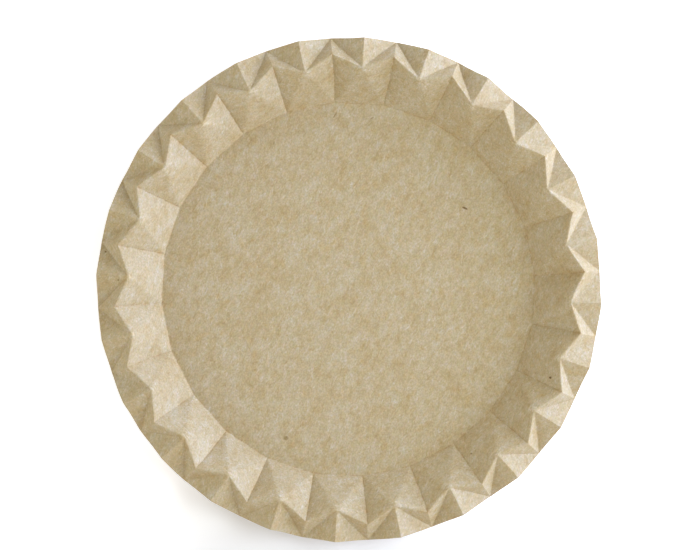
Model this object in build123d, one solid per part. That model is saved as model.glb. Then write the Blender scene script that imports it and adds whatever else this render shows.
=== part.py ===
from build123d import *
import os
import numpy as np

# Round kraft-paper plate, folded and pressed from one flat sheet of board.
# It lies on its base: +Z is up, and the origin is the middle of the base, on the surface it rests on.
# A ring of equal pleats stands round the flat floor. Each pleat is made of flat triangles: a wall that
# rises from the floor to a zigzag crest, and a rim that drops from the crest to a wavy cut edge.

# Driving dimensions, in millimetres. Radii and heights are of the upper face.
PLEAT_COUNT = 24
PAPER_THICKNESS = 0.5
FLOOR_RADIUS = 86.0  # to the corners of the floor, one at each side of a pleat
WALL_RUN = 14.5  # outwards from a floor corner to a peak of the crest
CREST_ZIGZAG = 6.8  # outwards from a peak of the crest to a notch
RIM_RUN = 7.7  # outwards from a notch of the crest to the cut edge
EDGE_LOW_RISE = 6.8  # up from the floor to the low points of the cut edge
EDGE_WAVE = 8.1  # up from the low points of the cut edge to its high points
NOTCH_RISE = 1.5  # up from the high points of the cut edge to the notches
PEAK_RISE = 1.1  # up from the notches of the crest to its peaks

# Radii and heights of the folds, worked out from the driving dimensions
PEAK_RADIUS = FLOOR_RADIUS + WALL_RUN
NOTCH_RADIUS = PEAK_RADIUS + CREST_ZIGZAG
RIM_RADIUS = NOTCH_RADIUS + RIM_RUN
FLOOR_HEIGHT = PAPER_THICKNESS
EDGE_LOW_HEIGHT = FLOOR_HEIGHT + EDGE_LOW_RISE
EDGE_HIGH_HEIGHT = EDGE_LOW_HEIGHT + EDGE_WAVE
NOTCH_HEIGHT = EDGE_HIGH_HEIGHT + NOTCH_RISE
PEAK_HEIGHT = NOTCH_HEIGHT + PEAK_RISE

# Places of the folds across a pleat, as shares of it
PLEAT_ANGLE = 360 / PLEAT_COUNT
START_SHARE, MIDDLE_SHARE, END_SHARE = 0, 0.5, 1

# Fold points of the upper face: radius, height
UPPER_FACE = {
    "floor": (FLOOR_RADIUS, FLOOR_HEIGHT),
    "notch": (NOTCH_RADIUS, NOTCH_HEIGHT),
    "peak": (PEAK_RADIUS, PEAK_HEIGHT),
    "edge_low": (RIM_RADIUS, EDGE_LOW_HEIGHT),
    "edge_high": (RIM_RADIUS, EDGE_HIGH_HEIGHT),
}

# Facets of the first half of a pleat, each by its three fold points. The second half mirrors them,
# and the wall's middle facet lies across both halves.
WALL_FACET = (("floor", START_SHARE), ("peak", MIDDLE_SHARE), ("floor", END_SHARE))
HALF_FACETS = (
    (("floor", START_SHARE), ("notch", START_SHARE), ("peak", MIDDLE_SHARE)),
    (("notch", START_SHARE), ("edge_low", START_SHARE), ("peak", MIDDLE_SHARE)),
    (("edge_low", START_SHARE), ("edge_high", MIDDLE_SHARE), ("peak", MIDDLE_SHARE)),
)


def fold_point(face, name, place):
    """A fold point of the first pleat, in space."""
    radius, height = face[name]
    return Vector(radius, 0, height).rotate(Axis.Z, place * PLEAT_ANGLE)


def facet_normal(facet):
    """The upward normal of a facet of the upper face."""
    first, second, third = (fold_point(UPPER_FACE, *corner) for corner in facet)
    normal = (second - first).cross(third - first).normalized()
    return normal if normal.Z > 0 else -normal


def slopes_at(name, place):
    """The outward and upward parts of the normals of the facets that meet at a fold point."""
    outward = Vector(1, 0, 0).rotate(Axis.Z, place * PLEAT_ANGLE)
    meeting = [facet for facet in (WALL_FACET, *HALF_FACETS) if (name, place) in facet]
    normals = [facet_normal(facet) for facet in meeting]
    return np.array([[normal.dot(outward), normal.Z] for normal in normals])


def lower_fold(name, place):
    """Radius and height of a fold point of the lower face, a paper's thickness under the facets there."""
    slopes = slopes_at(name, place)
    radius, height = UPPER_FACE[name]
    if name == "floor":
        # The base is flat, so a floor corner goes straight down by the thickness and only moves along it.
        down = 1
        out = np.linalg.lstsq(slopes[:, :1], down - slopes[:, 1], rcond=None)[0][0]
    else:
        out, down = np.linalg.lstsq(slopes, np.ones(len(slopes)), rcond=None)[0]
    return radius - out * PAPER_THICKNESS, height - down * PAPER_THICKNESS


def mirrored(facet):
    """The same facet in the other half of the pleat."""
    return tuple((name, END_SHARE - place) for name, place in facet)


def facet_face(face, facet):
    return Face(Wire.make_polygon([fold_point(face, *corner) for corner in facet]))


def edge_faces(upper, lower):
    """The cut edge across one half of a pleat, as two triangles on its diagonal."""
    low, high = ("edge_low", START_SHARE), ("edge_high", MIDDLE_SHARE)
    near, far = (fold_point(upper, *corner) for corner in (low, high))
    near_under, far_under = (fold_point(lower, *corner) for corner in (low, high))
    return [
        Face(Wire.make_polygon([near, far, far_under])),
        Face(Wire.make_polygon([near, far_under, near_under])),
    ]


def pleat_faces(upper, lower):
    """Every face of one pleat: both sides of the sheet and the cut edge."""
    facets = [WALL_FACET, *HALF_FACETS, *(mirrored(facet) for facet in HALF_FACETS)]
    sheet = [facet_face(face, facet) for face in (upper, lower) for facet in facets]
    first_half = edge_faces(upper, lower)
    middle = Plane.XZ.rotated((0, 0, MIDDLE_SHARE * PLEAT_ANGLE))
    second_half = [face.mirror(middle) for face in first_half]
    return sheet + first_half + second_half


def floor_face(face):
    corners = [fold_point(face, "floor", place) for place in range(PLEAT_COUNT)]
    return Face(Wire.make_polygon(corners))


def plate():
    places = {name: place for facet in HALF_FACETS for name, place in facet}
    lower_face = {name: lower_fold(name, place) for name, place in places.items()}
    one_pleat = pleat_faces(UPPER_FACE, lower_face)
    turns = [Rot(0, 0, place * PLEAT_ANGLE) for place in range(PLEAT_COUNT)]
    pleats = [turn * face for turn in turns for face in one_pleat]
    floors = [floor_face(UPPER_FACE), floor_face(lower_face)]
    return Solid(Shell(pleats + floors))


os.makedirs("parts", exist_ok=True)
export_step(plate(), "parts/plate.step")
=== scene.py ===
import math

import bpy
import numpy as np
from mathutils import Euler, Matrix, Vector


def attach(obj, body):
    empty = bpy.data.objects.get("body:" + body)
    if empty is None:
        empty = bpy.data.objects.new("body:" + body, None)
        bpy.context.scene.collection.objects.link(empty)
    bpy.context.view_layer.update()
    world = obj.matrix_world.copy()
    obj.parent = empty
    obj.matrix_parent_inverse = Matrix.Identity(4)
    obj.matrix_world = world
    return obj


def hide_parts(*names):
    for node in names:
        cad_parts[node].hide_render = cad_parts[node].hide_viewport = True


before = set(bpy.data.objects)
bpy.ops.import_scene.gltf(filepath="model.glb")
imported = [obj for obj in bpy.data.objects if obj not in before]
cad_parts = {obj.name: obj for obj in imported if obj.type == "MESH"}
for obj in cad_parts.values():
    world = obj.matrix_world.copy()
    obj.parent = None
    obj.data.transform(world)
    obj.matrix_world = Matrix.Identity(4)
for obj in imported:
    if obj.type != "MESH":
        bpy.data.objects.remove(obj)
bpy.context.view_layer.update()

# The plate is one sheet of kraft board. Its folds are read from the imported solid; this script softens them
# as pressed board is soft, and gives the board its pulp, fibres, flecks and cut edge.

# Lengths are in metres, or in millimetres where a comment says so
MM = 0.001

# The photograph's frame: what was read off it, in pixels, and the camera that it gives
IMAGE_WIDTH_PX = 700
IMAGE_HEIGHT_PX = 550
PLATE_CENTRE_PX = (348.63, 289.17)
PIXELS_PER_METRE = 2176.8
PLEAT_TURN = math.radians(4.22)  # of the first fold, from the image's right, anticlockwise
CAMERA_LEAN = math.radians(2.1)  # of the line of sight from upright: what is high moves to the right
CAMERA_DISTANCE = 1.42
SENSOR_WIDTH_MM = 36.0

# The sheet
PLEAT_COUNT = 24
PLEAT = 2 * math.pi / PLEAT_COUNT
START_SHARE, MIDDLE_SHARE, END_SHARE = 0.0, 0.5, 1.0  # places across a pleat
FOLD_LINE_TOLERANCE = 0.01 * MM  # of a corner of the solid from the line of folds that it is on
CORNER_DIGITS = 6  # of a place in metres, to which corners are rounded so that each counts once
FACET_ROWS = 20
ROW_CROWDING = 2.1  # above 1, rows of a facet crowd towards its folds
SHARP_ANGLE = math.radians(70)  # between faces that meet sharply, at the cut edge
SEED = 24

# Softness of the folds, as the radius over which a fold is rounded
CRISP_FOLD = 0.10 * MM
SOFT_FOLD = 0.55 * MM  # the softest that any fold is
NOTCH_FOLD = 0.30 * MM  # the crest at its notches
PEAK_FOLD = 1.1 * MM  # the crest towards its peaks, up to the softest
RIM_PEAK_FOLD = 0.45 * MM  # the rim's folds at the peaks
SOFTENING_SHARE = 0.22  # gained with the distance from a crisp fold
SOFTENING_RINGS = ((0.5, 8), (1.0, 12), (1.5, 16))  # radius of a ring, in such radii, and its points

# What folding leaves on the board, with painted shade in its valley folds and a partly painted highlight at
# its peaks
CREASE_SHADE_LINE = 0.22 * MM  # half width of the dark line in a valley fold: painted shade of the crease, and partly the fold's own darker line
RIM_CREASE_SHADE_SHARE = 0.38  # how strong that line is on the rim
FOOT_CREASE_SHADE_SHARE = 0.85  # and at the foot of the wall
FOLD_BROWNING_WIDTH = 1.5 * MM  # half width of the faint browner, darker band beside it, along the wall's valley folds and its foot
CREASE_GROOVE = 0.14 * MM  # depth of the groove in a valley fold
RIM_GROOVE_SHARE = 0.45  # how deep that groove is on the rim
FOOT_GROOVE = 0.08 * MM  # depth of the groove at the foot of the wall, in the upper face only
GROOVE_WIDTH = 0.45 * MM  # half width of these grooves
PEAK_FUZZ_HIGHLIGHT_REACH = (1.2 * MM, 2.6 * MM)  # of the pale board at a peak, partly strained fibres and partly a painted highlight: outwards, and to each side
PEAK_FUZZ_HIGHLIGHT_INSET = 0.8 * MM  # of its middle from the peak, towards the floor

# Faint waves of the board, on the flat floor and on the folded rim
WAVE_COUNT = 14
FLOOR_WAVE_LENGTHS = (22 * MM, 60 * MM)
FLOOR_WAVE = 0.04 * MM
FLOOR_WAVE_LIFT = 2  # in floor waves, so that none reaches below the base
RIM_WAVE_LENGTHS = (14 * MM, 34 * MM)
RIM_WAVE = 0.16 * MM
RIM_WAVE_RUN = 10 * MM  # outwards from the floor's corners, over which the rim's waves fade in


def ring_pairs(corners, angle):
    """Fold points at one angle, inner first: radius and height on the upper face, and on the lower."""
    direction = np.array([math.cos(angle), math.sin(angle)])
    aside = np.array([-direction[1], direction[0]])
    on_line = (np.abs(corners[:, :2] @ aside) < FOLD_LINE_TOLERANCE) & (corners[:, :2] @ direction > 0)
    points = sorted({
        (round(float(point[:2] @ direction), CORNER_DIGITS), round(float(point[2]), CORNER_DIGITS))
        for point in corners[on_line]
    })
    return [sorted(pair, key=lambda point: -point[1]) for pair in zip(points[::2], points[1::2])]


def read_folds(node):
    """Radius and height of each fold point of the upper and the lower face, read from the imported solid."""
    corners = np.array([vertex.co for vertex in node.data.vertices])
    floor, notch, edge_low = ring_pairs(corners, 0)
    peak, edge_high = ring_pairs(corners, PLEAT / 2)
    named = {"floor": floor, "notch": notch, "peak": peak, "edge_low": edge_low, "edge_high": edge_high}
    return [{name: pair[side] for name, pair in named.items()} for side in (0, 1)]


UPPER, LOWER = read_folds(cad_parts["plate"])
CENTRE = "centre"

# Facets of one pleat and of the floor inside it, each by three corners, anticlockwise from above.
# A corner is its ring of fold points and its place, in pleats round the plate.
FACETS = (
    ((CENTRE, START_SHARE), ("floor", START_SHARE), ("floor", END_SHARE)),
    (("floor", START_SHARE), ("peak", MIDDLE_SHARE), ("floor", END_SHARE)),
    (("floor", START_SHARE), ("notch", START_SHARE), ("peak", MIDDLE_SHARE)),
    (("floor", END_SHARE), ("peak", MIDDLE_SHARE), ("notch", END_SHARE)),
    (("notch", START_SHARE), ("edge_low", START_SHARE), ("peak", MIDDLE_SHARE)),
    (("notch", END_SHARE), ("peak", MIDDLE_SHARE), ("edge_low", END_SHARE)),
    (("edge_low", START_SHARE), ("edge_high", MIDDLE_SHARE), ("peak", MIDDLE_SHARE)),
    (("edge_low", END_SHARE), ("peak", MIDDLE_SHARE), ("edge_high", MIDDLE_SHARE)),
)

# Corners of the first half of a pleat, and the floor's corner at its far side
HALF_PLEAT = {
    "floor": ("floor", START_SHARE),
    "notch": ("notch", START_SHARE),
    "edge_low": ("edge_low", START_SHARE),
    "peak": ("peak", MIDDLE_SHARE),
    "edge_high": ("edge_high", MIDDLE_SHARE),
    "next_floor": ("floor", END_SHARE),
}


def corner_plan(corner, folds):
    """A corner of a facet in the plan."""
    ring, place = corner
    radius = 0 if ring == CENTRE else folds[ring][0]
    return radius * math.cos(place * PLEAT), radius * math.sin(place * PLEAT)


def half_pleat_corners(folds):
    """Corners of half a pleat in space. Its first fold lies along x."""
    return {
        name: np.array([*corner_plan(corner, folds), folds[corner[0]][1]])
        for name, corner in HALF_PLEAT.items()
    }


def into_half_pleat(x, y):
    """Points of the plan, turned and mirrored into the first half of the first pleat."""
    angle = np.arctan2(y, x)
    radius = np.hypot(x, y)
    angle = np.abs((angle + PLEAT / 2) % PLEAT - PLEAT / 2)
    return radius * np.cos(angle), radius * np.sin(angle)


def to_segment(x, y, start, end):
    """Distance in the plan to a straight fold, and how far along it the nearest point is, from 0 to 1."""
    run = (end - start)[:2]
    along = ((x - start[0]) * run[0] + (y - start[1]) * run[1]) / (run @ run)
    along = np.clip(along, 0, 1)
    return np.hypot(x - start[0] - along * run[0], y - start[1] - along * run[1]), along


def folded_height(x, y, folds):
    """Height of one face over the plan, as flat facets that fan out from the peak of a pleat."""
    x, y = into_half_pleat(x, y)
    corners = half_pleat_corners(folds)
    peak = corners["peak"]

    def facet(first, second):
        normal = np.cross(corners[first] - peak, corners[second] - peak)
        return peak[2] - (normal[0] * (x - peak[0]) + normal[1] * (y - peak[1])) / normal[2]

    def inside_of(name):
        out = corners[name] - peak
        return out[0] * (y - peak[1]) - out[1] * (x - peak[0]) < 0

    height = np.where(inside_of("edge_low"), facet("notch", "edge_low"), facet("edge_low", "edge_high"))
    height = np.where(inside_of("notch"), facet("floor", "notch"), height)
    height = np.where(inside_of("floor"), facet("floor", "next_floor"), height)
    return np.maximum(height, corners["floor"][2])


def fold_softness(x, y, folds):
    """Radius over which the folds are rounded: crisp in valleys and on the rim, soft on wall and crest."""
    x, y = into_half_pleat(x, y)
    corners = half_pleat_corners(folds)
    peak, notch, floor = corners["peak"], corners["notch"], corners["floor"]
    low, high = corners["edge_low"], corners["edge_high"]
    valley, _ = to_segment(x, y, floor, notch)
    foot, _ = to_segment(x, y, floor, corners["next_floor"])
    rim_ridge, _ = to_segment(x, y, notch, low)
    rim_valley, down = to_segment(x, y, peak, low)
    rim_tip, out = to_segment(x, y, peak, high)
    crest, up = to_segment(x, y, notch, peak)
    nearest = np.minimum(np.minimum(valley, foot), rim_ridge)
    radius = CRISP_FOLD + SOFTENING_SHARE * nearest
    rim_valley_softness = CRISP_FOLD + (RIM_PEAK_FOLD - CRISP_FOLD) * (1 - down) ** 2
    rim_tip_softness = CRISP_FOLD + (RIM_PEAK_FOLD - CRISP_FOLD) * (1 - out) ** 2
    crest_softness = NOTCH_FOLD + (PEAK_FOLD - NOTCH_FOLD) * up
    radius = np.minimum(radius, rim_valley_softness + SOFTENING_SHARE * rim_valley)
    radius = np.minimum(radius, rim_tip_softness + SOFTENING_SHARE * rim_tip)
    radius = np.minimum(radius, crest_softness + SOFTENING_SHARE * crest)
    return np.minimum(radius, SOFT_FOLD)


def softened_height(x, y, folds):
    """The folded height, averaged over a small disc that is as wide as the folds there are soft."""
    radius = fold_softness(x, y, folds)
    total = folded_height(x, y, folds)
    count = 1
    for ring, points in SOFTENING_RINGS:
        for step in range(points):
            angle = 2 * math.pi * (step + ring) / points
            shift_x, shift_y = ring * math.cos(angle), ring * math.sin(angle)
            total = total + folded_height(x + radius * shift_x, y + radius * shift_y, folds)
            count += 1
    return total / count


def waves(draw, x, y, lengths):
    """A random sum of waves over the plan, with a spread of about 0.7."""
    total = np.zeros_like(x)
    for _ in range(WAVE_COUNT):
        length = draw.uniform(*lengths)
        heading, phase = draw.uniform(0, 2 * math.pi, 2)
        total += np.sin(2 * math.pi * (x * math.cos(heading) + y * math.sin(heading)) / length + phase)
    return total / math.sqrt(WAVE_COUNT)


def board_waves(x, y):
    """Where the board strays from its true shape: the same for both faces, and never below the base."""
    draw = np.random.default_rng(SEED)
    floor_radius, _ = UPPER["floor"]
    rim = ((np.hypot(x, y) - floor_radius) / RIM_WAVE_RUN).clip(0, 1)
    shift = RIM_WAVE * np.stack([waves(draw, x, y, RIM_WAVE_LENGTHS) for _ in range(3)], axis=1)
    shift *= rim[:, None]
    floor_waves = waves(draw, x, y, FLOOR_WAVE_LENGTHS) + FLOOR_WAVE_LIFT
    shift[:, 2] += FLOOR_WAVE * floor_waves.clip(0, 2 * FLOOR_WAVE_LIFT)
    return shift


def valley_distances(x, y, folds):
    """Distances in the plan to the nearest valley of the wall, valley of the rim, and foot of the wall."""
    x, y = into_half_pleat(x, y)
    corners = half_pleat_corners(folds)
    wall_valley, _ = to_segment(x, y, corners["floor"], corners["notch"])
    rim_valley, _ = to_segment(x, y, corners["peak"], corners["edge_low"])
    foot, _ = to_segment(x, y, corners["floor"], corners["next_floor"])
    return wall_valley, rim_valley, foot


def fade(distance, width):
    """1 on a line, fading away from it over a width."""
    return np.exp(-(distance / width) ** 2)


def peak_fuzz_and_highlight(x, y, folds):
    """How pale the board is round the peaks of the crest, from 0 to 1: partly strained board, partly a
    painted highlight.
    """
    x, y = into_half_pleat(x, y)
    radius, _ = folds["peak"]
    outward = np.array([math.cos(PLEAT / 2), math.sin(PLEAT / 2)])
    out = x * outward[0] + y * outward[1] - (radius - PEAK_FUZZ_HIGHLIGHT_INSET)
    aside = y * outward[0] - x * outward[1]
    out_reach, aside_reach = PEAK_FUZZ_HIGHLIGHT_REACH
    return fade(out, out_reach) * fade(aside, aside_reach)


def board_marks(x, y, folds):
    """What folding leaves on the board, each from 0 to 1: dark lines in the valleys that are painted shade
    and partly the folds' own, browner bands beside them, and pale fuzz at the peaks that is partly a painted
    highlight.
    """
    wall, rim, foot = valley_distances(x, y, folds)
    # The dark lines in the valleys are painted shade, and partly the folds' own line
    rim_crease_shade = RIM_CREASE_SHADE_SHARE * fade(rim, CREASE_SHADE_LINE)
    foot_crease_shade = FOOT_CREASE_SHADE_SHARE * fade(foot, CREASE_SHADE_LINE)
    return {
        "crease_shade": np.maximum(fade(wall, CREASE_SHADE_LINE), np.maximum(rim_crease_shade, foot_crease_shade)),
        "fold_browning": fade(np.minimum(wall, foot), FOLD_BROWNING_WIDTH),
        "fuzz_and_highlight": peak_fuzz_and_highlight(x, y, folds),
    }


def sheet_grid():
    """Points and triangles of one face. A point is the rows that it has of each facet corner near it."""
    index, triangles = {}, []

    def point(corners, rows):
        key = frozenset((corner, row) for corner, row in zip(corners, rows) if row)
        return index.setdefault(key, len(index))

    for pleat in range(PLEAT_COUNT):
        for facet in FACETS:
            corners = [
                (ring, 0 if ring == CENTRE else (pleat + place) % PLEAT_COUNT) for ring, place in facet
            ]
            for i in range(FACET_ROWS):
                for j in range(FACET_ROWS - i):
                    k = FACET_ROWS - i - j
                    first = point(corners, (k, i, j))
                    second = point(corners, (k - 1, i + 1, j))
                    third = point(corners, (k - 1, i, j + 1))
                    triangles.append((first, second, third))
                    if k > 1:
                        fourth = point(corners, (k - 2, i + 1, j + 1))
                        triangles.append((second, fourth, third))
    return list(index), triangles


def face_plan(points, folds):
    """The points of one face of the sheet in the plan."""
    plan = []
    for rows in points:
        weights = {corner: (row / FACET_ROWS) ** ROW_CROWDING for corner, row in sorted(rows)}
        places = [(corner_plan(corner, folds), weight) for corner, weight in weights.items()]
        total = sum(weights.values())
        plan.append([sum(place[axis] * weight for place, weight in places) / total for axis in (0, 1)])
    return np.array(plan).T


def face_points(x, y, folds):
    """The points of one face of the sheet in space."""
    wall, rim, foot = valley_distances(x, y, folds)
    groove = np.maximum(fade(wall, GROOVE_WIDTH), RIM_GROOVE_SHARE * fade(rim, GROOVE_WIDTH))
    height = softened_height(x, y, folds) - CREASE_GROOVE * groove
    if folds is UPPER:
        height = height - FOOT_GROOVE * fade(foot, GROOVE_WIDTH)
    else:
        height = np.maximum(height, LOWER["floor"][1])
    return np.stack([x, y, height], axis=1) + board_waves(x, y)


def rim_edges(triangles):
    """Edges of the cut rim, each as its triangle runs it: those that only one triangle has."""
    edges = {(a, b) for triangle in triangles for a, b in zip(triangle, triangle[1:] + triangle[:1])}
    return [(a, b) for a, b in sorted(edges) if (b, a) not in edges]


def make_plate(board, cut_edge):
    """The plate: both faces of the sheet, and the cut edge between them."""
    points, triangles = sheet_grid()
    count = len(points)
    sides = [(face_plan(points, folds), folds) for folds in (UPPER, LOWER)]
    places = np.concatenate([face_points(*plan, folds) for plan, folds in sides])
    marks = [board_marks(*plan, folds) for plan, folds in sides]
    under = [(a + count, c + count, b + count) for a, b, c in triangles]
    edge = [(b, a, a + count, b + count) for a, b in rim_edges(triangles)]
    mesh = bpy.data.meshes.new("paper_plate")
    mesh.from_pydata(places.tolist(), [], triangles + under + edge)
    mesh.materials.append(board)
    mesh.materials.append(cut_edge)
    first_edge_face = len(triangles) + len(under)
    for face in mesh.polygons:
        face.use_smooth = True
        face.material_index = int(face.index >= first_edge_face)
    for name in marks[0]:
        values = np.concatenate([side[name] for side in marks]).astype(np.float32)
        mesh.attributes.new(name, "FLOAT", "POINT").data.foreach_set("value", values)
    mesh.set_sharp_from_angle(angle=SHARP_ANGLE)
    plate = bpy.data.objects.new("paper_plate", mesh)
    bpy.context.scene.collection.objects.link(plate)
    return plate


# The board's colour, linear, and what moves it: red, green and blue, each as a power of e
BOARD_COLOUR = (0.478, 0.386, 0.2275)
PULP_TINT = (0.555, 1.085, 2.28)  # for one unit of the pulp's tone, from tan to grey cream
SPECKLE_TINT = (0.91, 1.01, 1.34)
BLUE_TINT = (0.10, 0.0, 1.0)
RED_TINT = (1.0, 0.0, 0.0)
ORANGE_TINT = (0.02, -0.015, -0.09)
FIBRE_TINT = (-0.085, -0.135, -0.29)
PALE_FIBRE_TINT = (0.075, 0.125, 0.255)
# Painted shade in the valley folds, partly the folds' own dark line
CREASE_SHADE_TINT = (-0.15, -0.26, -0.44)
# Browner and darker beside the wall's valley folds and along its foot
FOLD_BROWNING_TINT = (0.0, -0.05, -0.14)
# Pale wisps at the peaks: partly strained board, partly a painted highlight
FUZZ_HIGHLIGHT_TINT = (0.23, 0.30, 0.46)
FLECK_TINT = (-0.82, -1.0, -1.5)

# Its noises lie apart by these places along the fourth axis of the noise. Layers take the next ones too.
NOISE_SEEDS = {
    "pulp": 0.0, "orange": 12.0, "fibre": 13.0, "pale_fibre": 14.0, "crease_shade": 15.0, "fuzz_and_highlight": 16.0,
    "fold_browning": 17.0, "speckle": 20.0, "blue": 30.0, "red": 35.0,
}

# Pulp: size of a cell, in millimetres, and how strongly it shows
PULP_LAYERS = ((13.9, 0.12), (6.8, 0.14), (3.4, 0.215), (2.4, 0.19))
SPECKLE_LAYERS = ((0.60, 0.47), (0.40, 0.13))
BLUE_LAYERS = ((1.2, 0.22), (0.60, 0.27))
RED_LAYERS = ((1.2, 0.11), (0.60, 0.11))
ORANGE_CELL = 2.6  # in millimetres
ORANGE_LEVELS = (0.10, 0.28)  # of its noise, where it begins to show and shows fully
GRAIN_ANGLE = math.radians(67)  # of the fibres in the image
GRAIN_STRETCH = 1.35
FIBRE_STRETCH = 2.4

# Fibres, dark and pale: distance between them in millimetres, width and rarity as levels of the noise
DARK_FIBRES = ((4.0, 0.030, 0.10), (1.7, 0.07, 0.04))
PALE_FIBRES = ((3.0, 0.035, 0.08), (1.4, 0.08, 0.03))
FIBRE_PATCH_SHARE = 0.7  # size of a patch that has fibres, of the distance between them
FIBRE_PATCH_EDGE = 0.06  # how softly a patch ends, as a level of its noise
FIBRE_PATCH_SEED = 5.0  # from the fibres' own seed

# Marks of the folds are broken up by noises: size of a cell, detail, and the levels of the noise where a
# mark begins to show and shows fully. The cells are in millimetres, and those of the pale fuzz and painted
# highlight at the peaks in wisps.
MARK_NOISES = {
    "crease_shade": (3.0, 1.0, (-0.12, 0.12)),
    "fold_browning": (5.0, 1.0, (-0.10, 0.20)),
    "fuzz_and_highlight": (1.0, 0.0, (-0.08, 0.12)),
}
WISP_WIDTH = 0.8  # in millimetres, of the pale wisps at the peaks of the crest: strained board, and partly a painted highlight
WISP_LENGTH = 3.2

# Flecks in the board where the photograph has them: place in pixels, half length and half width in
# millimetres, angle in the image, and depth
FLECKS = (
    ((465, 208), 1.2, 0.45, -25, 1.25),
    ((548, 377), 0.50, 0.48, 0, 1.5),
    ((286, 438), 1.05, 0.9, 20, 0.64),
    ((332, 332), 0.5, 0.4, 0, 0.25),
    ((388, 335), 0.5, 0.4, 0, 0.25),
    ((376, 436), 0.5, 0.4, 0, 0.25),
    ((470, 453), 0.4, 0.35, 0, 0.8),
    ((107, 252), 0.40, 0.35, 0, 1.1),
    ((120, 280), 0.40, 0.35, 0, 0.9),
    ((335, 115), 1.5, 0.28, 62, 0.55),
    ((372, 118), 0.9, 0.28, 30, 0.50),
    ((274, 143), 0.9, 0.26, 70, 0.30),
)
FLECK_EDGE_SHARE = 0.45  # how softly a fleck ends, of its size
FLECK_STRAY = 0.25 * MM  # of a fleck's outline, each way
FLECK_STRAY_SCALE = 0.6 / MM  # cells of its noise in a metre

# The board's fine relief, and how much of it each part of the pulp gives beside the speckle
TOOTH_DEPTH = 0.10 * MM
PULP_TOOTH_SHARE = 0.3
FIBRE_TOOTH_SHARE = 0.2
FUZZ_HIGHLIGHT_TOOTH_SHARE = 0.6
BOARD_ROUGHNESS = 0.65

# The cut edge shows the board's layers
CUT_EDGE_COLOUR = (0.56, 0.46, 0.30)
CUT_EDGE_SCALES = (0.7 / MM, 0.7 / MM, 6 / MM)  # cells of its noise in a metre, thin across the board
CUT_EDGE_DETAIL = 2.0
CUT_EDGE_SHADE = 0.85  # the darkest, as a factor
CUT_EDGE_SHADE_RANGE = 0.3
CUT_EDGE_ROUGHNESS = 0.9


class Nodes:
    """Makes and joins the shader nodes of a material or world."""

    def __init__(self, owner):
        owner.use_nodes = True
        self.tree = owner.node_tree
        self.tree.nodes.clear()

    def add(self, kind, settings=(), **sockets):
        """A new node. A socket is given by its name, with _ for a space, or by i and its number."""
        node = self.tree.nodes.new(kind)
        for name, value in dict(settings).items():
            setattr(node, name, value)
        for name, value in sockets.items():
            key = int(name[1:]) if name[1:].isdigit() else name.replace("_", " ")
            socket = node.inputs[key]
            if isinstance(value, bpy.types.NodeSocket):
                self.tree.links.new(value, socket)
            else:
                socket.default_value = value
        return node

    def math(self, operation, *values):
        sockets = {f"i{place}": value for place, value in enumerate(values)}
        return self.add("ShaderNodeMath", {"operation": operation}, **sockets).outputs[0]

    def vector(self, operation, *values):
        sockets = {f"i{place}": value for place, value in enumerate(values)}
        return self.add("ShaderNodeVectorMath", {"operation": operation}, **sockets).outputs

    def ramp(self, value, start, end):
        """0 at the start, 1 at the end, with a smooth step between them."""
        node = self.add("ShaderNodeMapRange", {"interpolation_type": "SMOOTHSTEP"}, Value=value)
        node.inputs["From Min"].default_value = start
        node.inputs["From Max"].default_value = end
        return node.outputs[0]

    def noise(self, place, cell, seed, detail=0.0):
        """Noise from -0.5 to 0.5 with cells of a size, in the units of the place."""
        node = self.add(
            "ShaderNodeTexNoise", {"noise_dimensions": "4D"}, Vector=place, W=seed, Scale=1 / cell,
            Detail=detail,
        )
        return self.math("SUBTRACT", node.outputs[0], 0.5)

    def layers(self, place, cells, seed):
        """A sum of noises, each by the size of its cells and its strength."""
        return self.total([
            self.math("MULTIPLY", self.noise(place, cell, seed + order), strength)
            for order, (cell, strength) in enumerate(cells)
        ])

    def total(self, values):
        result = values[0]
        for value in values[1:]:
            result = self.math("ADD", result, value)
        return result


def image_direction(angle):
    """Direction in the plan of an angle in the image, anticlockwise from its right."""
    return math.cos(angle - PLEAT_TURN), math.sin(angle - PLEAT_TURN)


def image_place(pixel):
    """Place in the plan of a pixel of the photograph."""
    right, up = image_direction(0), image_direction(math.pi / 2)
    across = (pixel[0] - PLATE_CENTRE_PX[0]) / PIXELS_PER_METRE
    rise = (PLATE_CENTRE_PX[1] - pixel[1]) / PIXELS_PER_METRE
    return across * right[0] + rise * up[0], across * right[1] + rise * up[1]


def along_grain(nodes, place, stretch):
    """Place in millimetres, with x along the grain of the board, so that a noise is stretched along it."""
    return nodes.add(
        "ShaderNodeMapping", {"vector_type": "TEXTURE"}, Vector=place,
        Rotation=(0, 0, GRAIN_ANGLE - PLEAT_TURN), Scale=(stretch * MM, MM, MM),
    ).outputs[0]


def thin_lines(nodes, place, cell, width, rarity, seed):
    """Short curved lines: the middle level of a noise, where another noise is high."""
    level = nodes.math("ABSOLUTE", nodes.noise(place, cell, seed))
    line = nodes.ramp(level, width, 0.0)
    patches = nodes.noise(place, cell * FIBRE_PATCH_SHARE, seed + FIBRE_PATCH_SEED)
    return nodes.math("MULTIPLY", line, nodes.ramp(patches, rarity, rarity + FIBRE_PATCH_EDGE))


def fibres(nodes, place, kinds, seed):
    return nodes.total([thin_lines(nodes, place, *kind, seed) for kind in kinds])


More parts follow.
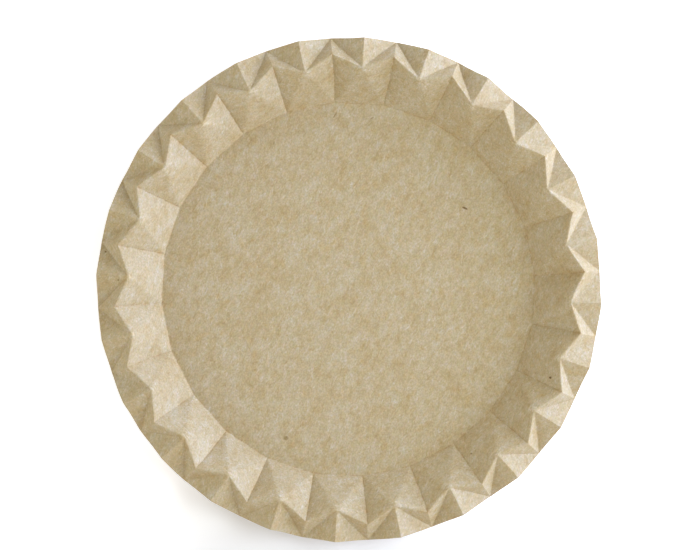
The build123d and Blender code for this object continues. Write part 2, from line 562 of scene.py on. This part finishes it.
def fleck_masks(nodes, place):
    """All flecks, each as deep as it is dark, with outlines that stray from an ellipse."""
    stray = nodes.add("ShaderNodeTexNoise", Vector=place, Scale=FLECK_STRAY_SCALE).outputs["Color"]
    stray = nodes.vector("MULTIPLY_ADD", stray, (2 * FLECK_STRAY,) * 3, (-FLECK_STRAY,) * 3)[0]
    strayed = nodes.vector("ADD", place, stray)[0]
    masks = []
    for pixel, length, width, angle, depth in FLECKS:
        local = nodes.add(
            "ShaderNodeMapping", {"vector_type": "TEXTURE"}, Vector=strayed,
            Location=(*image_place(pixel), 0), Rotation=(0, 0, math.radians(angle) - PLEAT_TURN),
            Scale=(length * MM, width * MM, 1.0),
        ).outputs[0]
        away = nodes.vector("LENGTH", local)["Value"]
        mask = nodes.ramp(away, 1 + FLECK_EDGE_SHARE, 1 - FLECK_EDGE_SHARE)
        masks.append(nodes.math("MULTIPLY", mask, depth))
    return nodes.total(masks)


def ring_place(nodes, place_mm):
    """Place on the board along the crest: wisp widths outwards, and wisp lengths round the plate."""
    parts = nodes.add("ShaderNodeSeparateXYZ", Vector=place_mm).outputs
    squares = [nodes.math("POWER", parts[axis], 2.0) for axis in (0, 1)]
    out = nodes.math("SQRT", nodes.total(squares))
    turn = nodes.math("ARCTAN2", parts[1], parts[0])
    along = nodes.math("MULTIPLY", turn, UPPER["peak"][0] / MM / WISP_LENGTH)
    return nodes.add("ShaderNodeCombineXYZ", X=nodes.math("DIVIDE", out, WISP_WIDTH), Y=along).outputs[0]


def fold_mark(nodes, name, place):
    """A mark that the mesh carries, broken up by its noise."""
    cell, detail, levels = MARK_NOISES[name]
    mark = nodes.add("ShaderNodeAttribute", {"attribute_name": name}).outputs["Fac"]
    patches = nodes.ramp(nodes.noise(place, cell, NOISE_SEEDS[name], detail), *levels)
    return nodes.math("MULTIPLY", mark, patches)


def tinted(nodes, colour, effects):
    """A colour moved by effects, each by its strength and its tint."""
    power = (0, 0, 0)
    for strength, tint in effects:
        power = nodes.vector("MULTIPLY_ADD", strength, tint, power)[0]
    parts = nodes.add("ShaderNodeSeparateXYZ", Vector=power).outputs
    red, green, blue = (
        nodes.math("MULTIPLY", nodes.math("EXPONENT", part), level) for part, level in zip(parts, colour)
    )
    return nodes.add("ShaderNodeCombineColor", Red=red, Green=green, Blue=blue).outputs[0]


def kraft_board():
    """The faces of the board: tan pulp with grey cream clouds, fibres and flecks, and marks at the folds:
    painted shade in the valleys, and a partly painted highlight at the peaks.
    """
    material = bpy.data.materials.new("kraft_board")
    nodes = Nodes(material)
    place = nodes.add("ShaderNodeTexCoord").outputs["Object"]
    place_mm = nodes.vector("MULTIPLY", place, (1 / MM,) * 3)[0]
    grain = along_grain(nodes, place, GRAIN_STRETCH)
    strands = along_grain(nodes, place, FIBRE_STRETCH)
    pulp = nodes.layers(grain, PULP_LAYERS, NOISE_SEEDS["pulp"])
    speckle = nodes.layers(grain, SPECKLE_LAYERS, NOISE_SEEDS["speckle"])
    blue = nodes.layers(grain, BLUE_LAYERS, NOISE_SEEDS["blue"])
    red = nodes.layers(grain, RED_LAYERS, NOISE_SEEDS["red"])
    orange = nodes.ramp(nodes.noise(grain, ORANGE_CELL, NOISE_SEEDS["orange"]), *ORANGE_LEVELS)
    fibre = fibres(nodes, strands, DARK_FIBRES, NOISE_SEEDS["fibre"])
    pale_fibre = fibres(nodes, strands, PALE_FIBRES, NOISE_SEEDS["pale_fibre"])
    # Pale at the peaks: partly strained board, partly a painted highlight
    fuzz_and_highlight = fold_mark(nodes, "fuzz_and_highlight", ring_place(nodes, place_mm))
    colour = tinted(nodes, BOARD_COLOUR, (
        (pulp, PULP_TINT),
        (speckle, SPECKLE_TINT),
        (blue, BLUE_TINT),
        (red, RED_TINT),
        (orange, ORANGE_TINT),
        (fibre, FIBRE_TINT),
        (pale_fibre, PALE_FIBRE_TINT),
        # Painted shade: a dark line in each valley fold and at the wall's foot, partly the folds' own line
        (fold_mark(nodes, "crease_shade", place_mm), CREASE_SHADE_TINT),
        (fold_mark(nodes, "fold_browning", place_mm), FOLD_BROWNING_TINT),
        (fuzz_and_highlight, FUZZ_HIGHLIGHT_TINT),
        (fleck_masks(nodes, place), FLECK_TINT),
    ))
    tooth = nodes.total([
        speckle,
        nodes.math("MULTIPLY", pulp, PULP_TOOTH_SHARE),
        nodes.math("MULTIPLY", fibre, FIBRE_TOOTH_SHARE),
        nodes.math("MULTIPLY", fuzz_and_highlight, FUZZ_HIGHLIGHT_TOOTH_SHARE),
    ])
    bump = nodes.add("ShaderNodeBump", Height=tooth, Strength=1.0, Distance=TOOTH_DEPTH).outputs[0]
    shader = nodes.add("ShaderNodeBsdfPrincipled", Base_Color=colour, Roughness=BOARD_ROUGHNESS, Normal=bump)
    nodes.add("ShaderNodeOutputMaterial", Surface=shader.outputs[0])
    return material


def cut_board_edge():
    """The cut edge of the board, paler than its faces."""
    material = bpy.data.materials.new("kraft_cut_edge")
    nodes = Nodes(material)
    place = nodes.add("ShaderNodeTexCoord").outputs["Object"]
    layers = nodes.add("ShaderNodeMapping", Vector=place, Scale=CUT_EDGE_SCALES).outputs[0]
    noise = nodes.add("ShaderNodeTexNoise", Vector=layers, Scale=1.0, Detail=CUT_EDGE_DETAIL).outputs[0]
    shade = nodes.math("MULTIPLY_ADD", noise, CUT_EDGE_SHADE_RANGE, CUT_EDGE_SHADE)
    colour = nodes.vector("MULTIPLY", shade, CUT_EDGE_COLOUR)[0]
    shader = nodes.add("ShaderNodeBsdfPrincipled", Base_Color=colour, Roughness=CUT_EDGE_ROUGHNESS)
    nodes.add("ShaderNodeOutputMaterial", Surface=shader.outputs[0])
    return material


# The floor. To the camera it glows faintly on a round patch in front of the plate, where the plate's shadow
# shows, and more elsewhere, and far from the plate it is plain white.
FLOOR_COLOUR = (0.87, 0.87, 0.89, 1)
FLOOR_REACH = 2.0  # from the plate's middle to each side of the floor
FLOOR_DROP = 0.2 * MM  # of the floor under the base, so that the two don't touch
PATCH_GLOW = 0.12
GLOW_ELSEWHERE = 0.68
SHADED_PATCH_ANGLE = math.radians(262)  # in the image, of the patch's middle
SHADED_PATCH_DISTANCE = 0.165  # of it from the plate's middle
SHADED_PATCH_EDGE = (0.045, 0.125)  # from the patch's middle, where its faint glow turns into the other
FLOOR_FADE = (0.18, 0.45)  # from the plate's middle, where the floor turns plain white to the camera


def seen_directly(nodes):
    """1 for what the camera sees, also in gloss or through glass, and 0 for what only lights the plate."""
    rays = nodes.add("ShaderNodeLightPath").outputs
    seen = nodes.total([rays["Is Camera Ray"], rays["Is Glossy Ray"], rays["Is Transmission Ray"]])
    return nodes.math("MINIMUM", seen, 1.0)


def white_floor_material():
    """A pale diffuse surface that is white to the camera and keeps the plate's shadow."""
    material = bpy.data.materials.new("white_floor")
    nodes = Nodes(material)
    seen = seen_directly(nodes)
    place = nodes.add("ShaderNodeTexCoord").outputs["Object"]
    patch = [SHADED_PATCH_DISTANCE * part for part in image_direction(SHADED_PATCH_ANGLE)]
    off_patch = nodes.ramp(nodes.vector("DISTANCE", place, (*patch, 0))["Value"], *SHADED_PATCH_EDGE)
    strength = nodes.math("MULTIPLY_ADD", off_patch, GLOW_ELSEWHERE - PATCH_GLOW, PATCH_GLOW)
    glow = nodes.add("ShaderNodeEmission", Strength=nodes.math("MULTIPLY", seen, strength))
    diffuse = nodes.add("ShaderNodeBsdfDiffuse", Color=FLOOR_COLOUR)
    near = nodes.add("ShaderNodeAddShader", i0=diffuse.outputs[0], i1=glow.outputs[0])
    white = nodes.add("ShaderNodeEmission", Strength=1.0)
    away = nodes.vector("LENGTH", place)["Value"]
    share = nodes.math("MULTIPLY", seen, nodes.ramp(away, *FLOOR_FADE))
    shader = nodes.add("ShaderNodeMixShader", Fac=share, i1=near.outputs[0], i2=white.outputs[0])
    nodes.add("ShaderNodeOutputMaterial", Surface=shader.outputs[0])
    return material


def make_floor():
    mesh = bpy.data.meshes.new("floor")
    signs = ((-1, -1), (1, -1), (1, 1), (-1, 1))
    mesh.from_pydata([(x * FLOOR_REACH, y * FLOOR_REACH, -FLOOR_DROP) for x, y in signs], [], [(0, 1, 2, 3)])
    mesh.materials.append(white_floor_material())
    floor = bpy.data.objects.new("floor", mesh)
    bpy.context.scene.collection.objects.link(floor)


def make_camera():
    """A long lens above the plate, turned so that the pleats stand as in the photograph."""
    camera = bpy.data.cameras.new("camera")
    camera.sensor_width = SENSOR_WIDTH_MM
    camera.lens = SENSOR_WIDTH_MM * PIXELS_PER_METRE * CAMERA_DISTANCE / IMAGE_WIDTH_PX
    turn = Euler((0, -CAMERA_LEAN, -PLEAT_TURN)).to_matrix()
    aside = (IMAGE_WIDTH_PX / 2 - PLATE_CENTRE_PX[0]) / PIXELS_PER_METRE
    ahead = (PLATE_CENTRE_PX[1] - IMAGE_HEIGHT_PX / 2) / PIXELS_PER_METRE
    eye = bpy.data.objects.new("camera", camera)
    eye.location = turn @ Vector((aside, ahead, CAMERA_DISTANCE))
    eye.rotation_euler = turn.to_euler()
    bpy.context.scene.collection.objects.link(eye)
    bpy.context.scene.camera = eye


# Soft square lamps: angle in the image, anticlockwise from its right, and height above the table, in
# degrees; side in metres; power in watts; colour
LAMPS = {
    "key_right": (0, 12, 0.6, 13.7, (0.53, 0.62, 1.0)),
    "key_middle": (30, 12, 0.6, 4.8, (0.56, 0.64, 1.0)),
    "key_upper": (60, 12, 0.6, 9.2, (0.64, 0.74, 1.0)),
    "side": (0, 45, 0.9, 12.4, (0.84, 0.935, 1.0)),
    "left": (176, 20, 0.9, 8.6, (0.885, 0.965, 1.0)),
    "front": (270, 20, 0.9, 4.9, (0.94, 0.955, 1.0)),
}
LAMP_DISTANCE = 1.3
WORLD_COLOUR = (1.0, 0.735, 0.39, 1)
WORLD_STRENGTH = 0.27
WHITE = (1, 1, 1, 1)


def make_lamp(name, image_angle, elevation, side, power, colour):
    """A square soft lamp that looks at the plate."""
    lamp = bpy.data.lights.new(name, "AREA")
    lamp.shape, lamp.size, lamp.energy, lamp.color = "SQUARE", side, power, colour
    holder = bpy.data.objects.new(name, lamp)
    x, y = image_direction(math.radians(image_angle))
    level, rise = math.cos(math.radians(elevation)), math.sin(math.radians(elevation))
    holder.location = (LAMP_DISTANCE * level * x, LAMP_DISTANCE * level * y, LAMP_DISTANCE * rise)
    holder.rotation_euler = (-holder.location).to_track_quat("-Z", "Y").to_euler()
    bpy.context.scene.collection.objects.link(holder)


def make_world():
    """Light from all round, white where the camera sees it."""
    world = bpy.data.worlds.new("studio")
    bpy.context.scene.world = world
    nodes = Nodes(world)
    lit = nodes.add("ShaderNodeBackground", Color=WORLD_COLOUR, Strength=WORLD_STRENGTH).outputs[0]
    white = nodes.add("ShaderNodeBackground", Color=WHITE, Strength=1.0).outputs[0]
    shader = nodes.add("ShaderNodeMixShader", Fac=seen_directly(nodes), i1=lit, i2=white)
    nodes.add("ShaderNodeOutputWorld", Surface=shader.outputs[0])


make_camera()
plate = make_plate(kraft_board(), cut_board_edge())
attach(plate, "root")
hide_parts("plate")
make_floor()
make_world()
for lamp_name, settings in LAMPS.items():
    make_lamp(lamp_name, *settings)
bpy.context.scene.view_settings.view_transform = "Standard"
